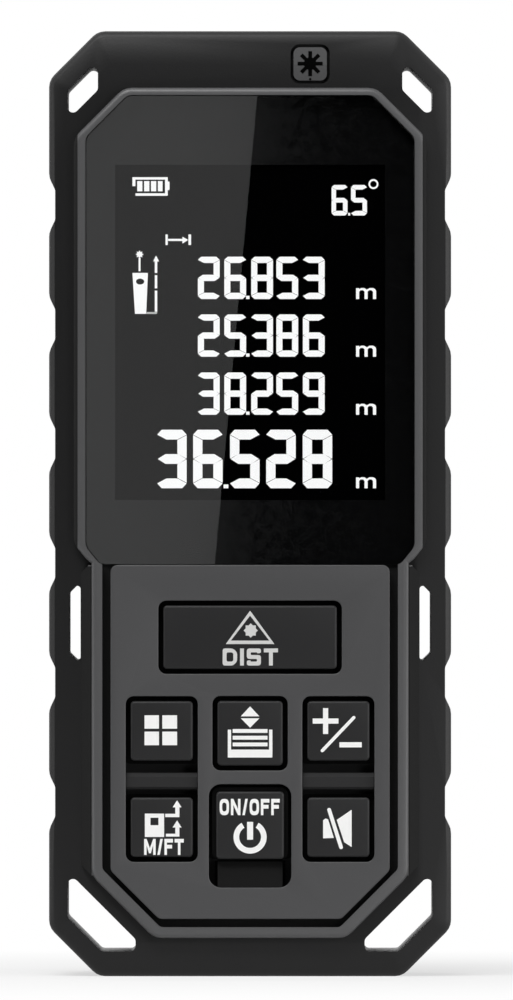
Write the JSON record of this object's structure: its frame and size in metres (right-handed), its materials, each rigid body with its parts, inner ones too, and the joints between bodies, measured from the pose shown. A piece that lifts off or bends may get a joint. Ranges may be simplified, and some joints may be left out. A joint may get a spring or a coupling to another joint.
{
  "type": "laser distance meter",
  "caption": "Rugged handheld laser distance meter with a window over its display, rubber-framed body, sprung keys and a hinged battery door.",
  "frame": {"origin": "middle of the base, the flat face that measurements are taken from", "axes": "+Z towards the beam end, the display and keys face -Y, +X to the right seen from the front"},
  "size_m": [0.0502, 0.027, 0.118],
  "materials": {
    "shell_grey": "fine spark-eroded grain",
    "bumper_rubber": "soft matt overmould",
    "seal_rubber": "matt",
    "window_glass": "polished",
    "display_black": "black display glass",
    "white_plastic": "satin",
    "flex_film": "satin film",
    "deck_grey": "fine spark-eroded grain",
    "mat_rubber": "matt",
    "key_black": "satin with printed legends",
    "board_green": "solder mask",
    "chip_black": "matt",
    "contact_steel": "nickel plated",
    "cast_aluminium": "die cast",
    "lens_glass": "coated optical glass",
    "gold_brass": "turned",
    "plate_gloss": "gloss",
    "pad_grey": "satin",
    "foam_grey": "closed-cell foam",
    "cell_jacket": "plain shrink sleeve",
    "screw_steel": "zinc plated"
  },
  "bodies": {
    "root": {"front_shell": "shell_grey", "front_bumper": "bumper_rubber", "rear_shell": "shell_grey", "rear_bumper": "bumper_rubber", "shell_gasket": "seal_rubber", "display_window": "window_glass", "window_gasket": "seal_rubber", "lcd_panel": "display_black", "lcd_frame": "white_plastic", "backlight_plate": "white_plastic", "display_flex": "flex_film", "key_deck": "deck_grey", "keypad_mat": "mat_rubber", "dome_switches": "contact_steel", "main_pcb": "board_green", "ic_packages": "chip_black", "buzzer": "chip_black", "optics_chassis": "cast_aluminium", "receiver_lens": "lens_glass", "lens_retainer": "chip_black", "receiver_board": "board_green", "receiver_sensor": "gold_brass", "laser_barrel": "gold_brass", "collimator_lens": "lens_glass", "laser_diode": "gold_brass", "top_plate": "plate_gloss", "exit_windows": "lens_glass", "beam_mark_pad": "pad_grey", "cell_left": "cell_jacket", "cell_right": "cell_jacket", "contact_springs": "contact_steel", "contact_plates": "contact_steel", "tripod_bush": "gold_brass", "housing_screws": "screw_steel", "board_screws": "screw_steel", "optics_screws": "screw_steel"},
    "measure": {"key_measure": "key_black"},
    "mode": {"key_mode": "key_black"},
    "memory": {"key_memory": "key_black"},
    "plus_minus": {"key_plus_minus": "key_black"},
    "unit": {"key_unit": "key_black"},
    "power": {"key_power": "key_black"},
    "mute": {"key_mute": "key_black"},
    "door": {"battery_door": "shell_grey", "door_foam": "foam_grey"}
  },
  "joints": [
    {"name": "measure_press", "type": "slide", "parent": "root", "child": "measure", "axis": [0, 1, 0], "range_m": [0, 0.0006], "stiffness_N_per_m": 300, "springref_m": -0.001},
    {"name": "mode_press", "type": "slide", "parent": "root", "child": "mode", "axis": [0, 1, 0], "range_m": [0, 0.0006], "stiffness_N_per_m": 300, "springref_m": -0.001},
    {"name": "memory_press", "type": "slide", "parent": "root", "child": "memory", "axis": [0, 1, 0], "range_m": [0, 0.0006], "stiffness_N_per_m": 300, "springref_m": -0.001},
    {"name": "plus_minus_press", "type": "slide", "parent": "root", "child": "plus_minus", "axis": [0, 1, 0], "range_m": [0, 0.0006], "stiffness_N_per_m": 300, "springref_m": -0.001},
    {"name": "unit_press", "type": "slide", "parent": "root", "child": "unit", "axis": [0, 1, 0], "range_m": [0, 0.0006], "stiffness_N_per_m": 300, "springref_m": -0.001},
    {"name": "power_press", "type": "slide", "parent": "root", "child": "power", "axis": [0, 1, 0], "range_m": [0, 0.0006], "stiffness_N_per_m": 300, "springref_m": -0.001},
    {"name": "mute_press", "type": "slide", "parent": "root", "child": "mute", "axis": [0, 1, 0], "range_m": [0, 0.0006], "stiffness_N_per_m": 300, "springref_m": -0.001},
    {"name": "door_hinge", "type": "hinge", "parent": "root", "child": "door", "pos_m": [0, 0.0121, 0.0102], "axis": [-1, 0, 0], "range_deg": [0, 85]}
  ]
}
